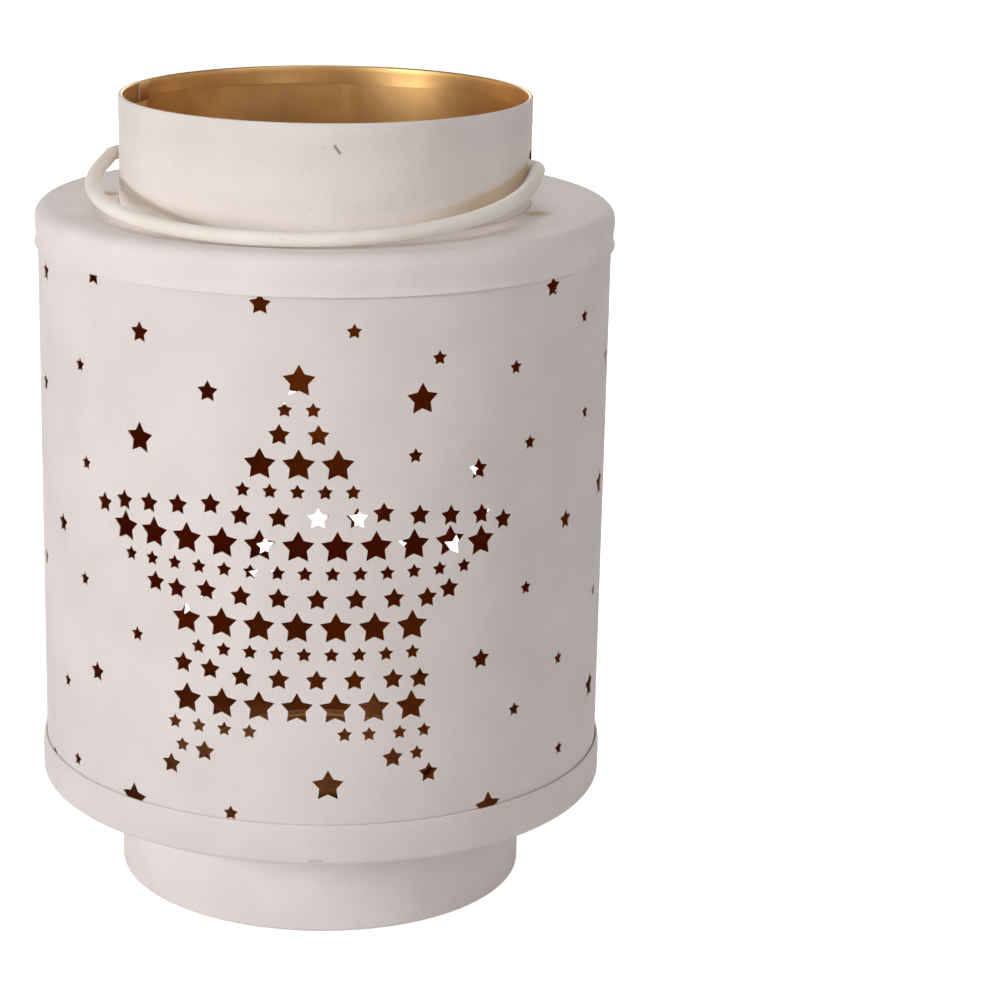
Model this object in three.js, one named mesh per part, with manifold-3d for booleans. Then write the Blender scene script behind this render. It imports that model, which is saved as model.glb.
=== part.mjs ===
// Candle lantern of sheet metal: a drum pierced with stars, a lid with a neck, a foot and a wire bail.
// Sizes are millimetres and angles are degrees. +Z is up, the front faces -Y, and the bail swings about X.
import * as THREE from "three";
import { mergeVertices } from "three/addons/utils/BufferGeometryUtils.js";
import Module from "manifold-3d";

const wasm = await Module();
wasm.setup();

// Sheet, fits and seams
const sheet = 0.6;
const clearance = 0.3;
const lapWidth = 8;
const edgeRadius = 0.2;

// Foot
const footRadius = 69.2;
const footHeight = 34.6;
const footFlange = 6;
const footCorner = 1.2;
const footSeamAngle = 176;

// Drum, the pan that it stands in and the lid on top of it
const bodyRadius = 95;
const bodyHeight = 191.9;
const panPlay = 0.7;
const panDepth = 13.7;
const panCorner = 2;
const lidPlay = 0.4;
const lidDepth = 13.1;
const lidCorner = 4.5;

// Neck
const neckRadius = 68;
const neckRise = 35.4;
const neckFlange = 6;
const hemWidth = 6.5;
const hemGap = 0.2;
const neckSeamAngle = -102;

// Bail and the holes that it swings in. Its legs start straight, so that they pass the neck's wall when it
// is up. It has play sideways, and lies a little to the left, where its front leans too.
const wireRadius = 2.4;
const hingeBelowRim = 22;
const holePlay = 1.7;
const holeGap = 0.5;
const bendRadius = 4;
const hookLength = 7;
const hookGap = 2.1;
const legGap = 1;
const legLength = 16;
const bailShift = -0.4;
const bailLean = -1.5;
const bailInset = 5.7;
const bailSquareness = 2.11;

// Candle plate
const plateRadius = 40;
const plateRim = 2.5;
const plateCorner = 1.4;

// Stars: the radius of each punch out to its points, and its inner corners as a share of that
const large = 5.4;
const medium = 3.65;
const small = 2.6;
const starPoints = 5;
const starWaist = 0.53;
const punchLength = 6;

// Star figure on the drum, which sits a little turned under the lid
const patternTurn = 6;
const rowPitch = 8.66;
const columnPitch = 7.33;
const figureDrop = 5.25;
const bodySeamAngle = 181;

// Facets
const drumFacets = 50;
const ringFacets = 44;
const plateFacets = 36;
const cornerSteps = 3;
const holeFacets = 16;
const wireSides = 10;
const bendSteps = 4;
const loopSteps = 30;
const gridSteps = 1024;

// How far a bend of the pan or the lid stands out from its flat where the drum's edge meets it. Facets cut
// a little off the room inside a bend, so the edge stays clear of those too.
function bendDepth(bend, play) {
  const ringSlack = bodyRadius * (1 - Math.cos(Math.PI / ringFacets));
  const bendSlack = bend * (1 - Math.cos(Math.PI / (4 * cornerSteps)));
  const inwards = THREE.MathUtils.clamp(bend - play + ringSlack + bendSlack, 0, bend);
  return bend - Math.sqrt(bend ** 2 - inwards ** 2);
}

// Heights that follow from the sizes above
const panUnderside = footHeight + clearance;
const panFloor = panUnderside + sheet;
const panEdge = panUnderside + panDepth;
const panBend = panCorner - sheet;
const bodyBottom = panFloor + bendDepth(panBend, panPlay) + clearance;
const bodyTop = bodyBottom + bodyHeight;
const lidBend = lidCorner - sheet;
const lidUnderside = bodyTop + bendDepth(lidBend, lidPlay) + clearance;
const lidTop = lidUnderside + sheet;
const lidEdge = lidTop - lidDepth;
const neckRim = lidTop + neckRise;
const hingeHeight = neckRim - hingeBelowRim;

const paint = { color: 0xe2dcd9, roughness: 0.55, metalness: 0 };
const wirePaint = { color: 0xddd8d3, roughness: 0.6, metalness: 0 };
const gilding = { color: 0xb98f52, roughness: 0.4, metalness: 0.6 };

const radians = THREE.MathUtils.degToRad;

// A closed three.js geometry as a solid that can be cut and joined.
function solid(geometry) {
  const bare = geometry.clone();
  bare.deleteAttribute("normal");
  bare.deleteAttribute("uv");
  const merged = mergeVertices(bare, 1e-4);
  return new wasm.Manifold(
    new wasm.Mesh({
      numProp: 3,
      vertProperties: merged.attributes.position.array,
      triVerts: new Uint32Array(merged.index.array),
    }),
  );
}

// A solid as a named mesh with its own paint.
function mesh(name, shape, finish) {
  const { vertProperties, triVerts } = shape.getMesh();
  const geometry = new THREE.BufferGeometry();
  geometry.setAttribute("position", new THREE.BufferAttribute(vertProperties, 3));
  geometry.setIndex(new THREE.BufferAttribute(triVerts, 1));
  geometry.computeVertexNormals();
  const made = new THREE.Mesh(geometry, new THREE.MeshStandardMaterial({ ...finish, flatShading: true }));
  made.name = name;
  return made;
}

// Points of a round corner about [r, z], from one angle to the other.
function corner(r, z, radius, from, to, steps = cornerSteps) {
  return Array.from({ length: steps + 1 }, (_, i) => {
    const angle = radians(from + ((to - from) * i) / steps);
    return [r + radius * Math.cos(angle), z + radius * Math.sin(angle)];
  });
}

// Places a geometry that was made at the front, facing -Y, at an angle round the Z axis.
function atAngle(geometry, angle) {
  return geometry.rotateZ(radians(angle));
}

// A closed outline of [radius, height] points, anticlockwise, turned about the Z axis. One edge between
// its facets lies at the given angle.
function turned(outline, segments, edgeAngle = 0) {
  const profile = [...outline, outline[0]].map(([r, z]) => new THREE.Vector2(r, z));
  const lathe = new THREE.LatheGeometry(profile, segments).rotateX(Math.PI / 2);
  return solid(atAngle(lathe, edgeAngle));
}

// The inner ply of a lap seam: an upright strip inside a wall of the given outer radius.
function lapStrip(radius, low, high, angle) {
  const half = lapWidth / radius / 2;
  const front = -Math.PI / 2;
  const shape = new THREE.Shape();
  shape.absarc(0, 0, radius - sheet / 2, front - half, front + half, false);
  shape.absarc(0, 0, radius - 2 * sheet, front + half, front - half, true);
  const strip = new THREE.ExtrudeGeometry(shape, { depth: high - low, bevelEnabled: false, curveSegments: 2 });
  return solid(atAngle(strip.translate(0, 0, low), angle));
}

// Foot: a rolled ring, flanged inwards under the pan and at the edge that it stands on.
function footRing() {
  const top = footHeight;
  const flange = footRadius - footFlange;
  const bend = footCorner - sheet;
  const ring = turned(
    [
      [flange, 0],
      ...corner(footRadius - footCorner, footCorner, footCorner, -90, 0, 2),
      ...corner(footRadius - footCorner, top - footCorner, footCorner, 0, 90, 1),
      [flange, top],
      [flange, top - sheet],
      ...corner(footRadius - footCorner, top - footCorner, bend, 90, 0, 1),
      ...corner(footRadius - footCorner, footCorner, bend, 0, -90, 1),
      [flange, sheet],
    ],
    ringFacets,
  );
  return ring.add(lapStrip(footRadius, footCorner, top - footCorner, footSeamAngle));
}

// Pan: a pressed dish that the drum stands in.
function basePan() {
  const inner = bodyRadius + panPlay;
  const outer = inner + sheet;
  return turned(
    [
      [0, panUnderside],
      ...corner(outer - panCorner, panUnderside + panCorner, panCorner, -90, 0),
      [outer, panEdge - edgeRadius],
      [outer - edgeRadius, panEdge],
      [inner, panEdge],
      ...corner(outer - panCorner, panUnderside + panCorner, panBend, 0, -90),
      [0, panFloor],
    ],
    ringFacets,
  );
}

// Candle plate: a small dish on the floor of the pan.
function candlePlate() {
  const bottom = panFloor + clearance;
  const rim = bottom + plateRim;
  const bendCentre = [plateRadius - plateCorner, bottom + plateCorner];
  return turned(
    [
      [0, bottom],
      ...corner(...bendCentre, plateCorner, -90, 0, 2),
      [plateRadius, rim],
      [plateRadius - sheet, rim],
      ...corner(...bendCentre, plateCorner - sheet, 0, -90, 1),
      [0, bottom + sheet],
    ],
    plateFacets,
  );
}

// Lid: a pressed ring with a round shoulder and a skirt that fits over the drum.
function lidRing() {
  const hole = neckRadius + clearance;
  const inner = bodyRadius + lidPlay;
  const outer = inner + sheet;
  return turned(
    [
      [hole, lidUnderside],
      ...corner(outer - lidCorner, lidTop - lidCorner, lidBend, 90, 0),
      [inner, lidEdge],
      [outer - edgeRadius, lidEdge],
      [outer, lidEdge + edgeRadius],
      ...corner(outer - lidCorner, lidTop - lidCorner, lidCorner, 0, 90),
      [hole, lidTop],
    ],
    ringFacets,
  );
}

// Neck: a rolled collar with its rim folded inwards, a flange under the lid and two holes for the bail,
// which lies low in them.
function neckCollar() {
  const inner = neckRadius - sheet;
  const hem = 2 * sheet + hemGap;
  const hemEdge = neckRim - hemWidth;
  const flangeTop = lidUnderside - clearance;
  const flangeBottom = flangeTop - sheet;
  const wall = turned(
    [
      [inner, flangeBottom],
      [neckRadius + neckFlange, flangeBottom],
      [neckRadius + neckFlange, flangeTop],
      [neckRadius, flangeTop],
      ...corner(neckRadius - hem / 2, neckRim - hem / 2, hem / 2, 0, 180, 4),
      [neckRadius - hem, hemEdge],
      [inner, hemEdge],
    ],
    ringFacets,
  );
  const seam = lapStrip(neckRadius, flangeBottom, hemEdge, neckSeamAngle);
  const hemSeam = lapStrip(neckRadius - hem + sheet, hemEdge, neckRim - hem / 2, neckSeamAngle);
  const holeRadius = wireRadius + holePlay;
  const drillLength = 2 * (neckRadius + neckFlange);
  const drill = new THREE.CylinderGeometry(holeRadius, holeRadius, drillLength, holeFacets);
  drill.rotateZ(Math.PI / 2).translate(0, 0, hingeHeight + holePlay - holeGap);
  return wall.add(seam).add(hemSeam).subtract(solid(drill));
}

// Angles of evenly spaced stars about a centre, and of stars that mirror each other.
function spread(count, step, centre = 0) {
  return Array.from({ length: count }, (_, i) => centre + (i - (count - 1) / 2) * step);
}

function mirrored(...angles) {
  return [...angles.map((angle) => -angle), ...angles];
}

// One large star drawn by rows of small ones. A row has its place in rows from the top, a size and angles.
const figureRows = [
  [0, large, [0]],
  [1.05, small, spread(2, 5.3)],
  [1.97, medium, spread(2, columnPitch)],
  [3.07, large, spread(3, columnPitch)],
  [4.05, small, spread(5, 5.2, -0.2)],
  [5.02, medium, spread(4, columnPitch)],
  [6.1, large, spread(9, columnPitch)],
  [7.09, small, spread(14, 5.19, -1.3)],
  [8.05, medium, spread(4, columnPitch)],
  [9.14, large, spread(7, columnPitch, -0.15)],
  [10.14, small, spread(9, 5.2, 1.2)],
  [11.12, medium, spread(4, 7.2)],
  [12.21, large, spread(7, columnPitch, -0.1)],
  [13.2, small, [-24.8, -19.6, -14.3, -9.3, 9, 13.7, 19.7, 24.6]],
  [14.06, small, mirrored(23.2)],
  [14.17, medium, mirrored(18.4)],
  [14.89, medium, mirrored(25.7)],
];
const figureHeight = figureRows.at(-1)[0] * rowPitch;

// Stars that step off the rows along the figure's outline: angle, place in rows from the top, size.
const outlineStars = [
  [-17, 4.71, medium], [-23.9, 4.89, medium], [-30.5, 5.02, medium], [-36.7, 5.13, medium],
  [-42.3, 5.43, medium], [16, 4.85, medium], [23, 5.01, medium], [29.4, 5.14, medium],
  [36.1, 5.25, medium], [41.3, 5.6, medium], [-36.4, 6.1, large], [36.1, 6.26, large],
  [-17.9, 7.96, medium], [-24.2, 8.06, medium], [-29.1, 7.95, medium], [18.2, 8.07, medium],
  [24.8, 8.13, medium], [29.3, 7.88, medium], [-17.2, 10.95, medium], [-22.9, 10.86, medium],
  [18.2, 11.13, medium], [23.5, 11.18, medium],
];

// Loose stars round the figure: angle from its centre line, percent of the way up the open band, size.
const looseStars = [
  [-71.8, 38.9, medium], [-68.8, 74.7, medium], [-66.7, 96.7, medium], [-66.6, -0.4, small],
  [-58.5, 49.3, medium], [-57.6, 17.7, small], [-53.5, 2.7, small], [-50, 82, small],
  [-49.4, 40.5, small], [-48.2, 63.5, small], [-45.5, 22.9, medium], [-45, 99.8, medium],
  [-35, 0.1, large], [-33.7, 33.2, small], [-32.6, 71.2, large], [-32.4, 91, medium],
  [-17.5, 81.8, medium], [-13, 1.2, small], [-7.3, 98.5, medium], [5.9, 7.7, large],
  [10.1, 93.8, small], [22, 70.5, small], [23.2, 80.9, large], [26.5, 88.3, small],
  [35.2, 66.7, medium], [36.7, 29.9, medium], [39.2, 0, large], [43.6, 84.7, small],
  [45.4, 18.2, small], [47.8, 41.8, small], [47.8, 69.9, small], [53.4, 98.3, medium],
  [59, 25.1, small], [60.3, 6.4, small], [60.2, 52.5, medium], [65.7, 90.7, small],
  [67.4, 71.9, small], [76.3, 14.5, large], [77, 33.9, small], [79.4, 55.1, large],
  [82.3, 79.7, medium], [-78, 58.6, small],
];

// Loose stars of the back wall that can be seen through the front, and the others, scattered evenly.
const seenThrough = [
  [148.9, 41.1, small], [152.8, 22.7, large], [166.4, 21.8, small], [175.5, 26.6, large],
  [185.2, 26.7, large], [193.2, 54.5, large], [197.6, 20.8, medium], [215.5, 9.8, large],
];
const scatter = { count: 38, start: 92, span: 188, turn: 0.618034, phase: 0.15, low: 2, high: 97 };
const scatterSizes = [small, medium, small, large, small, medium];
const leastSpacing = 11;

// Every star of the drum as its angle, height and size.
function starLayout() {
  const bandHeight = lidEdge - panEdge;
  const figureTop = (lidEdge + panEdge + figureHeight) / 2 - figureDrop;
  const up = (percent) => panEdge + (bandHeight * percent) / 100;
  const stars = [];
  for (const [place, size, angles] of figureRows) {
    for (const angle of angles) stars.push([angle, figureTop - place * rowPitch, size]);
  }
  for (const [angle, place, size] of outlineStars) stars.push([angle, figureTop - place * rowPitch, size]);
  const seen = seenThrough.map(([angle, percent, size]) => [angle, up(percent), size]);
  for (const [angle, percent, size] of looseStars) stars.push([angle, up(percent), size]);
  stars.push(...seen);
  const arc = radians(1) * bodyRadius;
  for (let i = 0; i < scatter.count; i += 1) {
    const angle = scatter.start + (scatter.span * (i + 0.5)) / scatter.count;
    const share = (i * scatter.turn + scatter.phase) % 1;
    const height = up(scatter.low + (scatter.high - scatter.low) * share);
    const offSeam = Math.abs(angle - bodySeamAngle) * arc > lapWidth / 2 + medium;
    const free = seen.every(([a, h]) => Math.hypot((angle - a) * arc, height - h) > leastSpacing);
    if (offSeam && free) stars.push([angle, height, scatterSizes[i % scatterSizes.length]]);
  }
  return stars;
}

// The punch for one star: an upright star as long as it takes to pass through the wall. Its points lie on a
// fine grid, where 32-bit numbers keep its sides exactly flat, so that the cut has no needless facets.
function starPunch([angle, height, size]) {
  const shape = new THREE.Shape(
    Array.from({ length: 2 * starPoints }, (_, i) => {
      const radius = i % 2 ? size * starWaist : size;
      const turn = Math.PI / 2 + (i * Math.PI) / starPoints;
      return new THREE.Vector2(radius * Math.cos(turn), radius * Math.sin(turn));
    }),
  );
  const punch = new THREE.ExtrudeGeometry(shape, { depth: punchLength, bevelEnabled: false });
  const place = new THREE.Matrix4().makeRotationZ(radians(patternTurn + angle));
  place.multiply(new THREE.Matrix4().makeTranslation(0, punchLength / 2 - bodyRadius, height));
  place.multiply(new THREE.Matrix4().makeRotationX(Math.PI / 2));
  const through = onGrid(new THREE.Vector3(0, 0, 1).transformDirection(place).multiplyScalar(punchLength));
  const { position } = punch.attributes;
  for (let i = 0; i < position.count; i += 1) {
    const point = onGrid(new THREE.Vector3(position.getX(i), position.getY(i), 0).applyMatrix4(place));
    if (position.getZ(i) > 0) point.add(through);
    position.setXYZ(i, point.x, point.y, point.z);
  }
  return solid(punch);
}

function onGrid(point) {
  return point.multiplyScalar(gridSteps).round().divideScalar(gridSteps);
}

// Drum: a rolled shell with a lap seam at the back, pierced all round with stars. Its facets are turned
// so that the figure's centre line runs up the middle of one.
function bodyShell() {
  const inner = bodyRadius - sheet;
  const wall = turned(
    [
      [inner, bodyBottom],
      [bodyRadius, bodyBottom],
      [bodyRadius, bodyTop],
      [inner, bodyTop],
    ],
    drumFacets,
    patternTurn + 180 / drumFacets,
  );
  const seam = lapStrip(bodyRadius, bodyBottom, bodyTop, patternTurn + bodySeamAngle);
  return wall.add(seam).subtract(wasm.Manifold.union(starLayout().map(starPunch)));
}

// A path with one ring of facets at each of its points, so that bends get more of them than straights.
class WirePath extends THREE.Curve {
  constructor(points) {
    super();
    this.points = points;
  }

  getUtoTmapping(u) {
    return u;
  }

  getPoint(t, target = new THREE.Vector3()) {
    const place = t * (this.points.length - 1);
    const index = Math.min(Math.floor(place), this.points.length - 2);
    return target.lerpVectors(this.points[index], this.points[index + 1], place - index);
  }

  getTangent(t, target = new THREE.Vector3()) {
    const half = 0.5 / (this.points.length - 1);
    const before = this.getPoint(Math.max(t - half, 0));
    return target.copy(this.getPoint(Math.min(t + half, 1))).sub(before).normalize();
  }
}

// Half of the bail's centre line, from the tip of its hook to the front: [across, away from the hinge].
function bailHalf(halfWidth, reach) {
  const hook = neckRadius - sheet - hookGap - wireRadius;
  const points = [[hook, -hookLength]];
  points.push(...corner(hook + bendRadius, -bendRadius, bendRadius, 180, 90, bendSteps));
  points.push(...corner(halfWidth - bendRadius, bendRadius, bendRadius, -90, 0, bendSteps));
  const power = 2 / bailSquareness;
  for (let i = 0; i <= loopSteps / 2; i += 1) {
    const turn = ((Math.PI / 2) * i) / (loopSteps / 2);
    const across = Math.max(Math.cos(turn), 0) ** power;
    points.push([halfWidth * across, legLength + (reach - legLength) * Math.sin(turn) ** power]);
  }
  return points;
}

// Bail: a bent wire that lies on the lid, with a hook at each end inside the neck.
function bailHandle() {
  const restHeight = lidTop + clearance + wireRadius;
  const frontRadius = bodyRadius + lidPlay + sheet - lidCorner - bailInset;
  const drop = hingeHeight - restHeight;
  const reach = Math.hypot(frontRadius, drop);
  const right = bailHalf(neckRadius + legGap + wireRadius, reach);
  const left = right.slice(0, -1).reverse();
  const outline = [...right, ...left.map(([across, away]) => [-across, away])];
  const points = outline.map(([across, away]) => {
    const lean = (bailLean * Math.max(away - legLength, 0)) / (reach - legLength);
    const share = away / reach;
    return new THREE.Vector3(across + bailShift + lean, -share * frontRadius, hingeHeight - share * drop);
  });
  const section = new THREE.Shape(
    Array.from({ length: wireSides }, (_, i) => {
      const turn = (2 * Math.PI * i) / wireSides;
      return new THREE.Vector2(wireRadius * Math.cos(turn), wireRadius * Math.sin(turn));
    }),
  );
  const extrudePath = new WirePath(points);
  return solid(new THREE.ExtrudeGeometry(section, { steps: points.length - 1, extrudePath }));
}

const lantern = new THREE.Group();
lantern.name = "lantern";
lantern.add(mesh("foot_ring", footRing(), paint));
lantern.add(mesh("base_pan", basePan(), paint));
lantern.add(mesh("body_shell", bodyShell(), paint));
lantern.add(mesh("candle_plate", candlePlate(), gilding));
lantern.add(mesh("lid_ring", lidRing(), paint));
lantern.add(mesh("neck_collar", neckCollar(), paint));
lantern.add(mesh("bail_handle", bailHandle(), wirePaint));

export default lantern;
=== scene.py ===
"""Looks of a sheet-metal candle lantern: drum pierced with stars, lid with a neck, foot and wire bail."""

import math

import bmesh
import bpy
from mathutils import Matrix, Vector

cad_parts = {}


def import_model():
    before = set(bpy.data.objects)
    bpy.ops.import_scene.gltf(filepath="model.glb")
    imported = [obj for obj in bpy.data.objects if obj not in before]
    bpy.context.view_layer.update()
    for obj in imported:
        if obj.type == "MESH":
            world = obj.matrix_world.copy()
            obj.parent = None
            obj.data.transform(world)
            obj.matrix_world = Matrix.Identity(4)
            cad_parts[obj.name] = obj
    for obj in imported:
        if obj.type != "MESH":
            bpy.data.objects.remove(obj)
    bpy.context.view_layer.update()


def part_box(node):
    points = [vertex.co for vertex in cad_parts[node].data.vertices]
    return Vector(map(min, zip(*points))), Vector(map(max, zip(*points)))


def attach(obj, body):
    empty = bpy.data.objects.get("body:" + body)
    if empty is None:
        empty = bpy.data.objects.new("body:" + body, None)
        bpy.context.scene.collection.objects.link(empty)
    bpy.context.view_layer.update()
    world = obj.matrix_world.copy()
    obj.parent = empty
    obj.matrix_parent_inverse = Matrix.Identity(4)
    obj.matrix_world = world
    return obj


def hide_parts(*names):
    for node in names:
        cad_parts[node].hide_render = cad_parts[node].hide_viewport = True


MM = 0.001

# Sheet, fits and seams, as in the frame
SHEET = 0.6 * MM
DRUM_SHEET = 0.4 * MM
CLEARANCE = 0.3 * MM
LAP_WIDTH = 8 * MM

# Foot
FOOT_RADIUS = 69.2 * MM
FOOT_HEIGHT = 34.6 * MM
FOOT_FLANGE = 6 * MM
FOOT_CORNER = 1.2 * MM
FOOT_SEAM_ANGLE = 176

# Drum, pan and lid
DRUM_RADIUS = 95 * MM
PAN_INNER = 95.7 * MM
PAN_UNDERSIDE = FOOT_HEIGHT + CLEARANCE
PAN_FLOOR = PAN_UNDERSIDE + SHEET
PAN_EDGE = PAN_UNDERSIDE + 13.7 * MM
PAN_CORNER = 2 * MM
LIP_GAP = 0.2 * MM
LIP_GAP_CHANGE = 0.14 * MM
LIP_CLOSEST_ANGLE = -45
LID_INNER = 95.4 * MM
LID_CORNER = 4.5 * MM
LID_DEPTH = 13.1 * MM

# Neck
NECK_RADIUS = 68 * MM
NECK_FLANGE = 6 * MM
HEM_WIDTH = 6.5 * MM
HEM_GAP = 0.2 * MM
HEM_STEP = 0.5 * MM
HEM_STEP_WIDTH = 2 / 3
NECK_SEAM_ANGLE = -102
BACK_CREASE_ANGLE = 183
BACK_CREASE_WIDTH = 1.6
BACK_CREASE_DEPTH = 0.35 * MM

# Waves of the hem's raw edge and of its distance from the wall: size, number round the rim, phase in radians
HEM_EDGE_WAVES = [(0.28 * MM, 3, 0.6), (0.18 * MM, 7, 2.0), (0.1 * MM, 17, 0.0)]
HEM_OFF_WAVE = (0.16 * MM, 9, 1.0)

# Bail
WIRE_RADIUS = 2.4 * MM
HINGE_BELOW_RIM = 22 * MM
HOLE_PLAY = 1.7 * MM
HOLE_GAP = 0.5 * MM
BEND_RADIUS = 4 * MM
HOOK_LENGTH = 7 * MM
HOOK_GAP = 2.1 * MM
LEG_GAP = 1 * MM
LEG_LENGTH = 16 * MM
BAIL_SHIFT = -0.4 * MM
BAIL_LEAN = -1.5 * MM
BAIL_INSET = 5.7 * MM
BAIL_SQUARENESS = 2.11

# Candle plate
PLATE_RADIUS = 40 * MM
PLATE_CORNER = 1.4 * MM

# Stars
LARGE = 5.4 * MM
MEDIUM = 3.65 * MM
SMALL = 2.6 * MM
STAR_POINTS = 5
STAR_WAIST = 0.53
TIP_WEAR = 0.2 * MM
PATTERN_TURN = 6
ROW_PITCH = 8.66 * MM
COLUMN_PITCH = 7.33
FIGURE_DROP = 5.25 * MM
SEAM_ANGLE = 181

# Facets of the turned pieces and of the drum, rings up the drum, and how near vertices are one vertex
RING_STEPS = 288
DRUM_STEPS = 360
DRUM_CUTS = 23
WELD = 0.002 * MM

# Scuff on the neck and smudge on the pan: the middle of a short row of soft spots, the step from one spot to
# the next in degrees and metres, and the size of a spot. Its core, a share of its size, has the full shade
NECK_SCUFF = {"angle": 13.6, "height": 259.9 * MM, "turn": 0.3, "drop": 0.5 * MM, "size": 0.7 * MM}
PAN_SMUDGE = {"angle": 9.7, "height": 36.9 * MM, "turn": 0.5, "drop": 0.0, "size": 1.2 * MM}
ROW_OF_SPOTS = range(-2, 3)
SPOT_CORE = 0.2

# Soft darker spots on the lid beside the bail's legs: place and size
LID_DARK_SPOTS = [((72 * MM, -11 * MM, 231 * MM), 7 * MM), ((-72 * MM, -6 * MM, 231 * MM), 6 * MM)]

# Sizes of the lacquers' patterns. Flakes are drawn coarser than the real ones, so that they show
CREAM_CLOUD = 28 * MM
GOLD_CLOUD = 22 * MM
SPECK = 0.6 * MM
SPECK_PATCH = 35 * MM
FLAKE = 0.7 * MM

# Painted light and shadow on the neck's coat: the heights between which it is painted lighter, for light
# bounced off the lid, and the lines of the bail's painted shadows, each from one angle in radians to another
# and from one height to another. A fade is where a zone starts and is full
BOUNCE_LIGHT_HEIGHTS = (260 * MM, 240 * MM)
BAIL_SHADOW_TOP = (0.7, 1.45, 239.8 * MM, 248.4 * MM)
BAIL_SHADOW_TOP_FADE = (-0.8 * MM, 1.6 * MM)
BAIL_SHADOW_BOTTOM = (0.9, 1.45, 234 * MM, 240 * MM)
BAIL_SHADOW_BOTTOM_FADE = (-1 * MM, 1.5 * MM)
BAIL_SHADOW_SIDE_FADES = [(0.5, 1.0), (1.9, 1.6)]
SHADOW_LINE = (-1.06, -0.5, 240.5 * MM, 234.3 * MM)
SHADOW_LINE_FADE = (1.8 * MM, 0.2 * MM)
SHADOW_LINE_END_FADES = [(-0.3, -0.5), (-1.3, -1.1)]

# The photograph's camera: angles in degrees, lens and sensor in millimetres
CAMERA_AZIMUTH = 10.5
CAMERA_DISTANCE = 953.55 * MM
CAMERA_HEIGHT = 402.31 * MM
CAMERA_TURN = -0.048
CAMERA_PITCH = -16.009
CAMERA_ROLL = 0.4325
CAMERA_SHIFT = 0.175
LENS = 104.66
SENSOR = 36

# Soft boxes: name, azimuth from the camera with + to its right, elevation, distance, width, power in watts
LAMPS = [
    ("key", -50, 13, 1.6, 0.6, 13.2),
    ("fill", 44, 30, 1.5, 1.0, 4.6),
    ("top", -10, 78, 1.5, 0.8, 3.4),
    ("back", 178, 16, 1.6, 1.4, 12),
]
LAMP_TARGET = Vector((0, 0, 0.15))

# Soft light from behind the lantern and from the camera's side. The share of the way up where the ceiling
# starts to darken and where it is darkest, and its level beside the white backdrop
SOFT_LIGHT = (0.12, 0.19)
CEILING_STARTS = (0.08, 0.25)
CEILING_LEVEL = 0.12

# White paper: its size, how far it lies below the foot, and the whiteness added from one distance from the
# axis to another
PAPER_SIZE = 16
PAPER_DROP = 0.2 * MM
PAPER_WHITENESS = (0.1, 0.4, 0.72, 1.0)


# Selecting and editing


def fresh():
    """Object mode with nothing selected."""
    if bpy.context.object and bpy.context.object.mode != "OBJECT":
        bpy.ops.object.mode_set(mode="OBJECT")
    bpy.ops.object.select_all(action="DESELECT")


def take(piece):
    """Makes one piece the selected and active one."""
    fresh()
    piece.select_set(True)
    bpy.context.view_layer.objects.active = piece
    return piece


def edit(piece):
    """Takes one piece into edit mode."""
    take(piece)
    bpy.ops.object.mode_set(mode="EDIT")


def pick(kind, test):
    """In edit mode, selects the vertices, edges or faces that pass the test."""
    bpy.ops.mesh.select_mode(type=kind)
    bpy.ops.mesh.select_all(action="DESELECT")
    mesh = bmesh.from_edit_mesh(bpy.context.object.data)
    parts = {"VERT": mesh.verts, "EDGE": mesh.edges, "FACE": mesh.faces}[kind]
    for part in parts:
        part.select_set(test(part))
    bmesh.update_edit_mesh(bpy.context.object.data)


def apply(piece, kind, **settings):
    """Adds a modifier with its settings and applies it."""
    take(piece)
    modifier = piece.modifiers.new(kind.title(), kind)
    for name, value in settings.items():
        setattr(modifier, name, value)
    bpy.ops.object.modifier_apply(modifier=modifier.name)


def settle(piece):
    """Puts a piece's place into its mesh."""
    take(piece)
    bpy.ops.object.transform_apply(location=True, rotation=True, scale=True)
    return piece


def smooth(piece, degrees=40):
    """Shades smooth, but for edges that bend more than this."""
    take(piece)
    bpy.ops.object.shade_smooth_by_angle(angle=math.radians(degrees))


def mend():
    """In edit mode, welds doubled vertices and turns all faces outwards, and leaves edit mode."""
    bpy.ops.mesh.select_all(action="SELECT")
    bpy.ops.mesh.remove_doubles(threshold=WELD)
    bpy.ops.mesh.normals_make_consistent(inside=False)
    fresh()


def paint(piece, coats):
    """Gives a piece its materials: the first all over, and each other one on the faces that pass its test."""
    edit(piece)
    for index, (material, test) in enumerate(coats):
        bpy.ops.object.material_slot_add()
        piece.material_slots[index].material = material
        if test:
            pick("FACE", test)
            piece.active_material_index = index
            bpy.ops.object.material_slot_assign()
    fresh()


# Shapes


def front(angle, radius, height=0.0):
    """The point at an angle from the front, counted towards +X, and a distance from the axis."""
    turn = math.radians(angle)
    return Vector((radius * math.sin(turn), -radius * math.cos(turn), height))


def bend(radius, height, size, start, end, steps=8):
    """Points of a round corner about a point of the outline."""
    points = []
    for i in range(steps + 1):
        turn = math.radians(start + (end - start) * i / steps)
        points.append((radius + size * math.cos(turn), height + size * math.sin(turn)))
    return points


def rise(radius, low, high, steps):
    """Points up or down a wall, so that the wall has rings that can be moved."""
    return [(radius, low + (high - low) * i / steps) for i in range(1, steps)]


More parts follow.
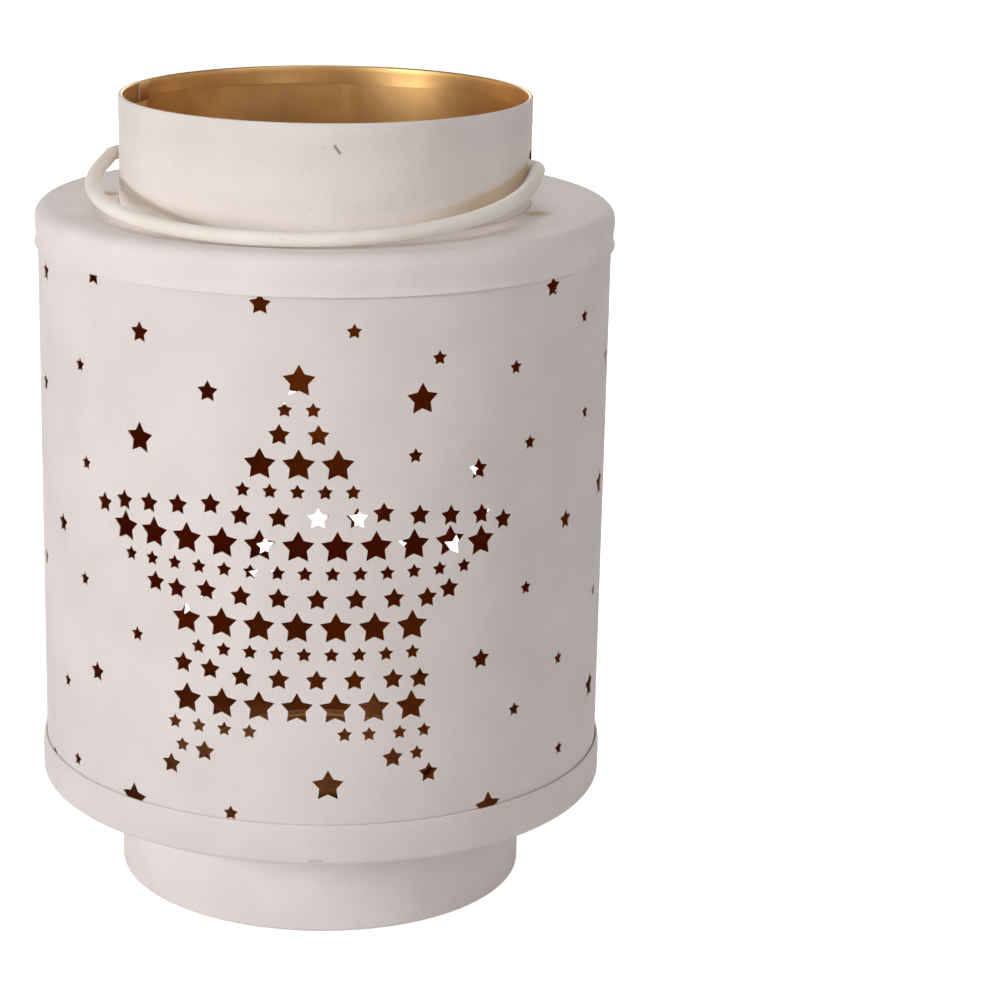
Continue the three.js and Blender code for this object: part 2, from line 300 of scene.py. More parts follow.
def turned(name, outline, steps=RING_STEPS):
    """A closed outline of (radius, height) points, drawn by extruding one vertex and spun about the axis."""
    fresh()
    radius, height = outline[0]
    bpy.ops.mesh.primitive_plane_add(size=MM, location=(radius, 0, height))
    piece = bpy.context.object
    piece.name = piece.data.name = name
    settle(piece)
    bpy.ops.object.mode_set(mode="EDIT")
    bpy.ops.mesh.select_mode(type="VERT")
    bpy.ops.mesh.select_all(action="SELECT")
    bpy.ops.mesh.merge(type="CENTER")
    for next_radius, next_height in [*outline[1:], outline[0]]:
        step = (next_radius - radius, 0, next_height - height)
        bpy.ops.mesh.extrude_region_move(TRANSFORM_OT_translate={"value": step})
        radius, height = next_radius, next_height
    bpy.ops.mesh.select_all(action="SELECT")
    bpy.ops.mesh.spin(steps=steps, angle=2 * math.pi, center=(0, 0, 0), axis=(0, 0, 1))
    mend()
    return piece


def lap(name, radius, low, high, angle, width=LAP_WIDTH):
    """The inner ply of a lap seam: a strip of sheet spun along the inside of a wall."""
    fresh()
    half = math.degrees(width / radius / 2)
    start = front(angle - half, radius - 1.5 * SHEET)
    bpy.ops.mesh.primitive_plane_add(size=1, location=(start.x, start.y, (low + high) / 2))
    piece = bpy.context.object
    piece.name = piece.data.name = name
    piece.rotation_euler = (math.pi / 2, 0, math.atan2(start.y, start.x))
    piece.scale = (SHEET, high - low, 1)
    settle(piece)
    bpy.ops.object.mode_set(mode="EDIT")
    bpy.ops.mesh.select_all(action="SELECT")
    bpy.ops.mesh.spin(steps=6, angle=math.radians(2 * half), center=(0, 0, 0), axis=(0, 0, -1))
    mend()
    apply(piece, "BEVEL", width=0.15 * MM, segments=2)
    return piece


def close_hub(piece, hub, heights):
    """Closes the bore that a spin leaves round the axis: its wall goes, and its two ends are filled."""
    edit(piece)
    pick("FACE", lambda face: face.calc_center_median().xy.length < hub + 0.01 * MM)
    bpy.ops.mesh.delete(type="FACE")
    for height in heights:
        pick("EDGE", lambda edge: edge.is_boundary and abs(edge.verts[0].co.z - height) < 0.1 * MM)
        bpy.ops.mesh.edge_face_add()
    mend()


def joined(piece, *others):
    """Joins pieces into the first one."""
    take(piece)
    for other in others:
        other.select_set(True)
    bpy.ops.object.join()
    return piece


def outwards(point):
    """The level direction from the axis to a point."""
    return Vector((point.x, point.y, 0)).normalized()


def is_inward(face):
    """Faces that look towards the axis."""
    centre = face.calc_center_median()
    return face.normal.dot(outwards(centre)) < -0.3


# Pieces


def foot(coats):
    """The rolled foot: a wall with an inward flange at each edge and a lap seam at the back."""
    top = FOOT_HEIGHT
    flange = FOOT_RADIUS - FOOT_FLANGE
    middle = FOOT_RADIUS - FOOT_CORNER
    inner = FOOT_CORNER - SHEET
    outline = [
        (flange, 0),
        *bend(middle, FOOT_CORNER, FOOT_CORNER, -90, 0),
        *bend(middle, top - FOOT_CORNER, FOOT_CORNER, 0, 90),
        (flange, top),
        (flange, top - SHEET),
        *bend(middle, top - FOOT_CORNER, inner, 90, 0),
        *bend(middle, FOOT_CORNER, inner, 0, -90),
        (flange, SHEET),
    ]
    piece = turned("foot", outline)
    seam = lap("foot_lap", FOOT_RADIUS, FOOT_CORNER, top - FOOT_CORNER, FOOT_SEAM_ANGLE)
    joined(piece, seam)
    smooth(piece)
    paint(piece, [(coats["foot"], None)])
    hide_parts("foot_ring")
    return piece


def pan(coats):
    """The pressed pan: a floor, a soft corner and a low wall round the drum's lower edge."""
    outer = PAN_INNER + SHEET
    centre = outer - PAN_CORNER
    hub = 20 * MM
    lip_low = PAN_EDGE - 6 * MM
    outer_edge = 0.3 * MM
    inner_edge = 0.1 * MM
    outline = [
        (hub, PAN_UNDERSIDE),
        *bend(centre, PAN_UNDERSIDE + PAN_CORNER, PAN_CORNER, -90, 0),
        *rise(outer, lip_low, PAN_EDGE - outer_edge, 6),
        *bend(outer - outer_edge, PAN_EDGE - outer_edge, outer_edge, 0, 90, 3),
        *bend(PAN_INNER + inner_edge, PAN_EDGE - inner_edge, inner_edge, 90, 180, 2),
        *rise(PAN_INNER, PAN_EDGE - inner_edge, lip_low, 6),
        *bend(centre, PAN_UNDERSIDE + PAN_CORNER, PAN_CORNER - SHEET, 0, -90),
        (hub, PAN_FLOOR),
    ]
    piece = turned("pan", outline)
    close_hub(piece, hub, (PAN_UNDERSIDE, PAN_FLOOR))
    # The lip leans in till it almost meets the drum: closest on the left, and 0.3 mm off on the right
    edit(piece)
    bend_start = PAN_EDGE - 5 * MM
    for vert in bmesh.from_edit_mesh(piece.data).verts:
        if vert.co.z > bend_start and vert.co.xy.length > centre:
            turn = math.atan2(vert.co.x, -vert.co.y)
            gap = LIP_GAP - LIP_GAP_CHANGE * math.cos(turn - math.radians(LIP_CLOSEST_ANGLE))
            share = (vert.co.z - bend_start) / (PAN_EDGE - bend_start)
            vert.co -= outwards(vert.co) * (PAN_INNER - DRUM_RADIUS - gap) * share**2
    mend()
    smooth(piece)
    def is_inner(face):
        return is_inward(face) or (face.normal.z > 0.5 and face.calc_center_median().z < PAN_EDGE - MM)
    paint(piece, [(coats["pan"], None), (coats["gold"], is_inner)])
    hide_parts("base_pan")
    return piece


def plate(coats):
    """The small pressed dish that the candle stands on, with a rolled rim."""
    bottom = PAN_FLOOR + CLEARANCE
    rim = bottom + 2.5 * MM
    hub = 10 * MM
    centre = PLATE_RADIUS - PLATE_CORNER
    lip = SHEET / 2
    outline = [
        (hub, bottom),
        *bend(centre, bottom + PLATE_CORNER, PLATE_CORNER, -90, 0),
        *bend(PLATE_RADIUS - lip, rim - lip, lip, 0, 180, 6),
        *bend(centre, bottom + PLATE_CORNER, PLATE_CORNER - SHEET, 0, -90),
        (hub, bottom + SHEET),
    ]
    piece = turned("plate", outline, RING_STEPS // 2)
    close_hub(piece, hub, (bottom, bottom + SHEET))
    smooth(piece)
    def is_rim(face):
        return face.calc_center_median().xy.length > PLATE_RADIUS - PLATE_CORNER
    # The rim's lighter gold is a painted highlight
    paint(piece, [(coats["gold"], None), (coats["rim gold with painted highlight"], is_rim)])
    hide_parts("candle_plate")
    return piece


# Stars of the drum


def spread(count, step, centre=0.0):
    """Angles in even steps about a middle."""
    return [centre + (i - (count - 1) / 2) * step for i in range(count)]


def mirrored(*angles):
    """Angles on both sides of the front."""
    return [-angle for angle in angles] + list(angles)


FIGURE_ROWS = [
    (0, LARGE, [0]),
    (1.05, SMALL, spread(2, 5.3)),
    (1.97, MEDIUM, spread(2, COLUMN_PITCH)),
    (3.07, LARGE, spread(3, COLUMN_PITCH)),
    (4.05, SMALL, spread(5, 5.2, -0.2)),
    (5.02, MEDIUM, spread(4, COLUMN_PITCH)),
    (6.1, LARGE, spread(9, COLUMN_PITCH)),
    (7.09, SMALL, spread(14, 5.19, -1.3)),
    (8.05, MEDIUM, spread(4, COLUMN_PITCH)),
    (9.14, LARGE, spread(7, COLUMN_PITCH, -0.15)),
    (10.14, SMALL, spread(9, 5.2, 1.2)),
    (11.12, MEDIUM, spread(4, 7.2)),
    (12.21, LARGE, spread(7, COLUMN_PITCH, -0.1)),
    (13.2, SMALL, [-24.8, -19.6, -14.3, -9.3, 9, 13.7, 19.7, 24.6]),
    (14.06, SMALL, mirrored(23.2)),
    (14.17, MEDIUM, mirrored(18.4)),
    (14.89, MEDIUM, mirrored(25.7)),
]

# Stars that step off the rows along the figure's outline: angle, place in rows from the top, size
OUTLINE_STARS = [
    (-17, 4.71, MEDIUM), (-23.9, 4.89, MEDIUM), (-30.5, 5.02, MEDIUM), (-36.7, 5.13, MEDIUM),
    (-42.3, 5.43, MEDIUM), (16, 4.85, MEDIUM), (23, 5.01, MEDIUM), (29.4, 5.14, MEDIUM),
    (36.1, 5.25, MEDIUM), (41.3, 5.6, MEDIUM), (-36.4, 6.1, LARGE), (36.1, 6.26, LARGE),
    (-17.9, 7.96, MEDIUM), (-24.2, 8.06, MEDIUM), (-29.1, 7.95, MEDIUM), (18.2, 8.07, MEDIUM),
    (24.8, 8.13, MEDIUM), (29.3, 7.88, MEDIUM), (-17.2, 10.95, MEDIUM), (-22.9, 10.86, MEDIUM),
    (18.2, 11.13, MEDIUM), (23.5, 11.18, MEDIUM),
]

# Loose stars: angle from the figure's centre line, percent of the way up the open band, size
LOOSE_STARS = [
    (-71.8, 38.9, MEDIUM), (-68.8, 74.7, MEDIUM), (-66.7, 96.7, MEDIUM), (-66.6, -0.4, SMALL),
    (-58.5, 49.3, MEDIUM), (-57.6, 17.7, SMALL), (-53.5, 2.7, SMALL), (-50, 82, SMALL),
    (-49.4, 40.5, SMALL), (-48.2, 63.5, SMALL), (-45.5, 22.9, MEDIUM), (-45, 99.8, MEDIUM),
    (-35, 0.1, LARGE), (-33.7, 33.2, SMALL), (-32.6, 71.2, LARGE), (-32.4, 91, MEDIUM),
    (-17.5, 81.8, MEDIUM), (-13, 1.2, SMALL), (-7.3, 98.5, MEDIUM), (5.9, 7.7, LARGE),
    (10.1, 93.8, SMALL), (22, 70.5, SMALL), (23.2, 80.9, LARGE), (26.5, 88.3, SMALL),
    (35.2, 66.7, MEDIUM), (36.7, 29.9, MEDIUM), (39.2, 0, LARGE), (43.6, 84.7, SMALL),
    (45.4, 18.2, SMALL), (47.8, 41.8, SMALL), (47.8, 69.9, SMALL), (53.4, 98.3, MEDIUM),
    (59, 25.1, SMALL), (60.3, 6.4, SMALL), (60.2, 52.5, MEDIUM), (65.7, 90.7, SMALL),
    (67.4, 71.9, SMALL), (76.3, 14.5, LARGE), (77, 33.9, SMALL), (79.4, 55.1, LARGE),
    (82.3, 79.7, MEDIUM), (-78, 58.6, SMALL),
]
SEEN_THROUGH = [
    (148.9, 41.1, SMALL), (152.8, 22.7, LARGE), (166.4, 21.8, SMALL), (175.5, 26.6, LARGE),
    (185.2, 26.7, LARGE), (193.2, 54.5, LARGE), (197.6, 20.8, MEDIUM), (215.5, 9.8, LARGE),
]
SCATTER = {"count": 38, "start": 92, "span": 188, "turn": 0.618034, "phase": 0.15, "low": 2, "high": 97}
SCATTER_SIZES = [SMALL, MEDIUM, SMALL, LARGE, SMALL, MEDIUM]
LEAST_SPACING = 11 * MM


def star_layout(lid_edge):
    """Every star of the drum as its angle, height and size."""
    band = lid_edge - PAN_EDGE
    figure_height = FIGURE_ROWS[-1][0] * ROW_PITCH
    figure_top = (lid_edge + PAN_EDGE + figure_height) / 2 - FIGURE_DROP
    in_rows = [(angle, place, size) for place, size, angles in FIGURE_ROWS for angle in angles]
    placed = in_rows + OUTLINE_STARS
    figure = [(angle, figure_top - place * ROW_PITCH, size) for angle, place, size in placed]
    loose = [(angle, PAN_EDGE + band * percent / 100, size) for angle, percent, size in LOOSE_STARS]
    seen = [(angle, PAN_EDGE + band * percent / 100, size) for angle, percent, size in SEEN_THROUGH]
    stars = figure + loose + seen
    arc = math.radians(1) * DRUM_RADIUS
    for i in range(SCATTER["count"]):
        angle = SCATTER["start"] + SCATTER["span"] * (i + 0.5) / SCATTER["count"]
        share = (i * SCATTER["turn"] + SCATTER["phase"]) % 1
        height = PAN_EDGE + band * (SCATTER["low"] + (SCATTER["high"] - SCATTER["low"]) * share) / 100
        off_seam = abs(angle - SEAM_ANGLE) * arc > LAP_WIDTH / 2 + MEDIUM
        gaps = [math.hypot((angle - star[0]) * arc, height - star[1]) for star in seen]
        if off_seam and min(gaps) > LEAST_SPACING:
            stars.append((angle, height, SCATTER_SIZES[i % len(SCATTER_SIZES)]))
    return stars


def star_punch(size):
    """A punch for one size of star, upright at the front of the drum: it widens at the sheet's outer face, so
    that the hole has the rolled-over edge that a real punch leaves."""
    fresh()
    rollover = 0.08 * MM
    outside = 1.0 * MM
    inside = 4.0 * MM
    bpy.ops.mesh.primitive_circle_add(
        vertices=2 * STAR_POINTS,
        radius=size,
        fill_type="NGON",
        location=(0, 0, 0),
        rotation=(math.pi / 2, 0, 0),
    )
    punch = settle(bpy.context.object)
    bpy.ops.object.mode_set(mode="EDIT")
    tip_to_waist = math.pi / STAR_POINTS
    def is_waist(vert):
        turn = math.atan2(vert.co.x, vert.co.z)
        return round(turn / tip_to_waist) % 2 == 1
    pick("VERT", is_waist)
    bpy.ops.transform.resize(value=(STAR_WAIST,) * 3, center_override=(0, 0, 0))
    pick("VERT", lambda vert: not is_waist(vert))
    bpy.ops.mesh.bevel(offset=TIP_WEAR, segments=2, affect="VERTICES")
    bpy.ops.mesh.select_mode(type="FACE")
    bpy.ops.mesh.select_all(action="SELECT")
    bpy.ops.transform.translate(value=(0, inside, 0))
    bpy.ops.mesh.extrude_region_move(TRANSFORM_OT_translate={"value": (0, rollover - inside, 0)})
    bpy.ops.mesh.extrude_region_move(TRANSFORM_OT_translate={"value": (0, -rollover - outside, 0)})
    waist = size * STAR_WAIST
    edge_length = math.sqrt(size**2 + waist**2 - 2 * size * waist * math.cos(tip_to_waist))
    to_edge = size * waist * math.sin(tip_to_waist) / edge_length
    flare = (to_edge + rollover + outside) / to_edge
    bpy.ops.transform.resize(value=(flare, 1, flare), center_override=(0, 0, 0))
    mend()
    return punch


def star_punches(lid_edge):
    """All the punches as one cutter, each copied from the punch of its size and turned to its place."""
    masters = {size: star_punch(size) for size in (SMALL, MEDIUM, LARGE)}
    copies = []
    for angle, height, size in star_layout(lid_edge):
        take(masters[size])
        bpy.ops.object.duplicate(linked=False)
        punch = bpy.context.object
        turn = Matrix.Rotation(math.radians(PATTERN_TURN + angle), 4, "Z")
        punch.matrix_world = turn @ Matrix.Translation((0, -DRUM_RADIUS, height))
        copies.append(punch)
    cutter = joined(*copies)
    settle(cutter)
    for master in masters.values():
        bpy.data.objects.remove(master)
    return cutter


def drum(coats, low, high, lid_edge):
    """The rolled and pierced sheet: a plain tube with rings all the way up, thickened inwards and punched."""
    fresh()
    bpy.ops.mesh.primitive_cylinder_add(
        vertices=DRUM_STEPS,
        radius=DRUM_RADIUS,
        depth=high - low,
        end_fill_type="NOTHING",
        location=(0, 0, (low + high) / 2),
    )
    piece = bpy.context.object
    piece.name = piece.data.name = "drum"
    settle(piece)
    edit(piece)
    pick("EDGE", lambda edge: abs(edge.verts[0].co.z - edge.verts[1].co.z) > MM)
    bpy.ops.mesh.subdivide(number_cuts=DRUM_CUTS)
    fresh()
    apply(piece, "SOLIDIFY", thickness=DRUM_SHEET, offset=-1)
    cutter = star_punches(lid_edge)
    apply(piece, "BOOLEAN", operation="DIFFERENCE", solver="MANIFOLD", object=cutter)
    bpy.data.objects.remove(cutter)
    seam_radius = DRUM_RADIUS - DRUM_SHEET + SHEET
    seam = lap("drum_lap", seam_radius, low, high, PATTERN_TURN + SEAM_ANGLE)
    joined(piece, seam)
    smooth(piece, 30)
    wall_middle = DRUM_RADIUS - DRUM_SHEET / 2
    def is_cut(face):
        centre = face.calc_center_median()
        sideways = abs(face.normal.dot(outwards(centre))) < 0.9
        return sideways and centre.xy.length > DRUM_RADIUS - 1.02 * DRUM_SHEET
    def is_inner(face):
        return face.calc_center_median().xy.length < wall_middle and is_inward(face)
    # The cut edges' warm tint is a painted glow of light off the gold inside
    paint(piece, [(coats["lacquer"], None), (coats["gold"], is_inner), (coats["cut edge with painted glow"], is_cut)])
    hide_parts("body_shell")
    return piece


def lid(coats, top):
    """The pressed lid: flat ring, soft shoulder and a skirt that draws in at its middle."""
    hole = NECK_RADIUS + CLEARANCE
    outer = LID_INNER + SHEET
    edge = top - LID_DEPTH
    centre = (outer - LID_CORNER, top - LID_CORNER)
    waist = 0.35 * MM
    lip = 0.25 * MM
    lip_out = 0.2 * MM
    skirt_sheet = SHEET - 0.02 * MM
    # How far down the skirt, and the share of the waist that it draws in there
    skirt = [(0.3, 0.2), (0.5, 0.8), (0.68, 1.0), (0.82, 0.6), (0.92, 0.1)]
    drop = centre[1] - edge
    outside = [(outer - waist * share, centre[1] - drop * place) for place, share in skirt]
    inside = [(radius - skirt_sheet, height) for radius, height in reversed(outside)]
    outline = [
        (hole, top - SHEET),
        (hole, top),
        ((hole + centre[0]) / 2, top),
        *bend(*centre, LID_CORNER, 90, 0, 12),
        *outside,
        *bend(outer - lip + lip_out, edge + lip, lip, 0, -90, 4),
        (outer - SHEET + lip_out / 2, edge),
        *inside,
        *bend(*centre, LID_CORNER - SHEET, 0, 90, 12),
    ]
    piece = turned("lid", outline)
    smooth(piece)
    def is_under(face):
        centre = face.calc_center_median()
        return is_inward(face) or (face.normal.z < -0.5 and centre.z > top - LID_CORNER)
    paint(piece, [(coats["lid"], None), (coats["gold"], is_under)])
    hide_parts("lid_ring")
    return piece


def wave(turn, size, number, phase):
    """The height of a wave that repeats round the axis."""
    return size * math.sin(number * turn + phase)


def hem_edge_shift(angle):
    """How far the hem's raw edge strays from its line, and how far it stands off the wall. Past the crease at
    the back, the edge steps up."""
    turn = math.radians(angle)
    waves = sum(wave(turn, *settings) for settings in HEM_EDGE_WAVES)
    step = HEM_STEP / (1 + math.exp((BACK_CREASE_ANGLE - angle) / HEM_STEP_WIDTH))
    return waves + step, wave(turn, *HEM_OFF_WAVE)


def neck(coats, low, rim, hinge):
    """The rolled collar: a wall with its rim folded inwards, a flange below and two holes for the bail."""
    inner = NECK_RADIUS - SHEET
    hem = 2 * SHEET + HEM_GAP
    hem_inner = NECK_RADIUS - hem
    fold = rim - hem / 2
    hem_edge = rim - HEM_WIDTH
    flange_top = low + SHEET
    hole_radius = WIRE_RADIUS + HOLE_PLAY
    hole_height = hinge + HOLE_PLAY - HOLE_GAP
    outline = [
        (inner, low),
        (NECK_RADIUS + NECK_FLANGE, low),
        (NECK_RADIUS + NECK_FLANGE, flange_top),
        (NECK_RADIUS, flange_top),
        *rise(NECK_RADIUS, flange_top, fold, 10),
        *bend(NECK_RADIUS - hem / 2, fold, hem / 2, 0, 180, 10),
        *rise(hem_inner, fold, hem_edge, 4),
        (hem_inner, hem_edge),
        (hem_inner + SHEET, hem_edge),
        (hem_inner + SHEET, fold),
        (inner, fold),
        *rise(inner, fold, low, 12),
    ]
    piece = turned("neck", outline)
    edit(piece)
    for vert in bmesh.from_edit_mesh(piece.data).verts:
        radius = vert.co.xy.length
        angle = math.degrees(math.atan2(vert.co.x, -vert.co.y)) % 360
        away = outwards(vert.co)
        if radius < hem_inner + 1.2 * SHEET and vert.co.z < fold - MM:
            share = (fold - vert.co.z) / (fold - hem_edge)
            along, off = hem_edge_shift(angle)
            vert.co.z += along * share
            vert.co -= away * off * share**2
        elif abs(radius - inner) < 0.05 * MM and hem_edge > vert.co.z > low + MM:
            near = math.exp(-(((angle - BACK_CREASE_ANGLE) / BACK_CREASE_WIDTH) ** 2))
            vert.co -= away * BACK_CREASE_DEPTH * near
    bmesh.update_edit_mesh(piece.data)
    fresh()
    bpy.ops.mesh.primitive_cylinder_add(
        vertices=48,
        radius=hole_radius,
        depth=3 * NECK_RADIUS,
        location=(0, 0, hole_height),
        rotation=(0, math.pi / 2, 0),
    )
    drill = settle(bpy.context.object)
    apply(piece, "BOOLEAN", operation="DIFFERENCE", solver="MANIFOLD", object=drill)
    bpy.data.objects.remove(drill)
    wall_lap = lap("neck_lap", NECK_RADIUS, low, hem_edge - 0.5 * MM, NECK_SEAM_ANGLE)
    hem_lap = lap("hem_lap", hem_inner + SHEET, hem_edge, rim - 0.5 * MM, NECK_SEAM_ANGLE)
    joined(piece, wall_lap, hem_lap)
    smooth(piece)
    def is_gold(face):
        centre = face.calc_center_median()
        inner_wall = is_inward(face) and centre.xy.length < NECK_RADIUS - SHEET / 2
        return inner_wall or centre.z < flange_top + 0.1 * MM
    def is_lap_end(face):
        centre = face.calc_center_median()
        across = abs(face.normal.dot(outwards(centre))) < 0.5 and abs(face.normal.z) < 0.5
        return across and centre.z > hem_edge and centre.xy.length < hem_inner + 0.02 * MM
    def is_hole(face):
        centre = face.calc_center_median()
        off = math.hypot(centre.y, centre.z - hole_height)
        return abs(off - hole_radius) < 0.05 * MM and abs(face.normal.x) < 0.5
    # The lap's cut end has the same warm tint, a painted glow of light off the gold inside
    # The walls of the bail's holes are painted dark, as painted shade
    skins = [(coats["gold"], is_gold), (coats["cut edge with painted glow"], is_lap_end), (coats["hole edge with painted shade"], is_hole)]
    paint(piece, [(coats["neck"], None), *skins])
    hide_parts("neck_collar")
    return piece


def bail_path(top, hinge):
    """The wire's centre line from the tip of one hook to the other. Its legs start straight, and its front
    leans a little to the left."""
    front_radius = LID_INNER + SHEET - LID_CORNER - BAIL_INSET
    drop = hinge - (top + CLEARANCE + WIRE_RADIUS)
    reach = math.hypot(front_radius, drop)
    hook = NECK_RADIUS - SHEET - HOOK_GAP - WIRE_RADIUS
    half_width = NECK_RADIUS + LEG_GAP + WIRE_RADIUS
    half = [(hook, -HOOK_LENGTH)]
    half += bend(hook + BEND_RADIUS, -BEND_RADIUS, BEND_RADIUS, 180, 90, 10)
    half += bend(half_width - BEND_RADIUS, BEND_RADIUS, BEND_RADIUS, -90, 0, 10)
    power = 2 / BAIL_SQUARENESS
    steps = 60
    for i in range(steps + 1):
        turn = math.pi / 2 * i / steps
        across = half_width * max(math.cos(turn), 0) ** power
        half.append((across, LEG_LENGTH + (reach - LEG_LENGTH) * math.sin(turn) ** power))
    points = []
    for across, away in half + [(-across, away) for across, away in reversed(half[:-1])]:
        lean = BAIL_LEAN * max(away - LEG_LENGTH, 0) / (reach - LEG_LENGTH)
        share = away / reach
        points.append(Vector((across + BAIL_SHIFT + lean, -share * front_radius, hinge - share * drop)))
    return points


def bail(coats, top, hinge):
    """The bent wire: a curve with a round section, made a mesh."""
    fresh()
    bpy.ops.curve.primitive_nurbs_path_add(location=(0, 0, 0))
    piece = bpy.context.object
    piece.name = "bail"
    piece.data.splines.clear()
    points = bail_path(top, hinge)
    spline = piece.data.splines.new("POLY")
    spline.points.add(len(points) - 1)
    for place, point in zip(spline.points, points):
        place.co = (*point, 1)
    piece.data.dimensions = "3D"
    piece.data.twist_mode = "MINIMUM"
    piece.data.bevel_depth = WIRE_RADIUS
    piece.data.bevel_resolution = 8
    piece.data.use_fill_caps = True
    bpy.ops.object.convert(target="MESH")
    piece = bpy.context.object
    piece.data.name = "bail"
    edit(piece)
    mend()
    smooth(piece, 50)
    paint(piece, [(coats["wire"], None)])
    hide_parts("bail_handle")
    return piece


# Materials


def srgb(code):
    """An sRGB hex colour as linear light."""
    linear = []
    for i in (0, 2, 4):
        share = int(code[i : i + 2], 16) / 255
        linear.append(share / 12.92 if share <= 0.04045 else ((share + 0.055) / 1.055) ** 2.4)
    return (*linear, 1)


WHITE = srgb("FFFFFF")
BLACK = srgb("000000")


def add(owner, kind, *values, **details):
    """Adds a node to a material or world. Values fill its inputs in order. Details are its settings, its
    colour stops, or inputs by name with _ for spaces. An input takes a number, place or colour, or the node
    or output that feeds it."""
    tree = owner.node_tree
    node = tree.nodes.new("ShaderNode" + kind)
    named = {}
    for name, detail in details.items():
        if name == "stops":
            elements = node.color_ramp.elements
            elements.remove(elements[1])
            elements[0].position, elements[0].color = detail[0]
            for place, colour in detail[1:]:
                elements.new(place).color = colour
        elif hasattr(node, name):
            setattr(node, name, detail)
        else:
            named[node.inputs[name.replace("_", " ")]] = detail
    open_inputs = [socket for socket in node.inputs if socket.enabled]
    for socket, value in [*zip(open_inputs, values), *named.items()]:
        if isinstance(value, bpy.types.Node):
            value = next(output for output in value.outputs if output.enabled)
        if isinstance(value, bpy.types.NodeSocket):
            tree.links.new(value, socket)
        else:
            socket.default_value = value
    return node


def blank(name):
    """A material without nodes."""
    material = bpy.data.materials.new(name)
    material.use_nodes = True
    material.node_tree.nodes.clear()
    return material


def within(owner, *limits):
    """How far a place is inside all of some soft limits, from 0 to 1. A limit is a value, where its effect
    starts and where it is full."""
    share = 1.0
    for value, start, full in limits:
        part = add(owner, "MapRange", value, start, full, interpolation_type="SMOOTHSTEP")
        share = add(owner, "Math", share, part, operation="MULTIPLY")
    return share


def row_of_spots(radius, angle, height, turn, drop, size):
    """Soft spots in a short row on a wall: each has its place and size."""
    return [(front(angle + turn * i, radius, height - drop * i), size) for i in ROW_OF_SPOTS]


def marks(coat, place, spots, colour):
    """Soft round marks on a coat: each spot has its place and the size over which it fades."""
    share = 0.0
    for spot, size in spots:
        distance = add(coat, "VectorMath", place, spot, operation="DISTANCE")
        near = within(coat, (distance, size, SPOT_CORE * size))
        share = add(coat, "Math", share, near, operation="MAXIMUM")
    return add(coat, "ValToRGB", share, stops=[(0.0, WHITE), (1.0, srgb(colour))])


def neck_scuff_and_painted_light(coat, place):
    """Painted light and shadow on the neck's coat: it is painted lighter towards its foot, for light bounced
    off the lid, with a painted shadow of the bail behind its right leg and a thin painted shadow line of it
    on the left. It also carries a scuff. Angles are in radians."""
    axes = add(coat, "SeparateXYZ", place).outputs
    height = axes["Z"]
    frontwards = add(coat, "Math", axes["Y"], -1.0, operation="MULTIPLY")
    angle = add(coat, "Math", axes["X"], frontwards, operation="ARCTAN2")
    # Painted light: lighter towards the foot, where light bounces off the lid
    bounce_share = add(coat, "MapRange", height, *BOUNCE_LIGHT_HEIGHTS)
    painted_bounce_light = add(coat, "ValToRGB", bounce_share, stops=[(0.0, srgb("F2F1F0")), (1.0, srgb("FFFFFC"))])
    # Painted shadow of the bail behind its right leg
    below = add(coat, "Math", add(coat, "MapRange", angle, *BAIL_SHADOW_TOP), height, operation="SUBTRACT")
    above = add(coat, "Math", height, add(coat, "MapRange", angle, *BAIL_SHADOW_BOTTOM), operation="SUBTRACT")
    sides = [(angle, *fade) for fade in BAIL_SHADOW_SIDE_FADES]
    bail_shadow_share = within(coat, (below, *BAIL_SHADOW_TOP_FADE), (above, *BAIL_SHADOW_BOTTOM_FADE), *sides)
    painted_bail_shadow = add(coat, "ValToRGB", bail_shadow_share, stops=[(0.0, WHITE), (1.0, srgb("E4D6BE"))])
    # Thin painted shadow line of the bail on the left
    off = add(coat, "Math", add(coat, "MapRange", angle, *SHADOW_LINE), height, operation="SUBTRACT")
    distance = add(coat, "Math", off, operation="ABSOLUTE")
    ends = [(angle, *fade) for fade in SHADOW_LINE_END_FADES]
    shadow_line_share = within(coat, (distance, *SHADOW_LINE_FADE), *ends)
    painted_shadow_line = add(coat, "ValToRGB", shadow_line_share, stops=[(0.0, WHITE), (1.0, srgb("E4DACF"))])
    tint = marks(coat, place, row_of_spots(NECK_RADIUS, **NECK_SCUFF), "A39488")
    for layer in (painted_bounce_light, painted_bail_shadow, painted_shadow_line):
        tint = add(coat, "Mix", 1.0, tint, layer, data_type="RGBA", blend_type="MULTIPLY")
    return tint


def lid_tint(coat, place):
    """Soft darker spots where the bail's legs come near the lid."""
    return marks(coat, place, LID_DARK_SPOTS, "DCCBB2")


def pan_tint(coat, place):
    """A small smudge on the pan's wall."""
    return marks(coat, place, row_of_spots(DRUM_RADIUS + SHEET, **PAN_SMUDGE), "CDC4BA")


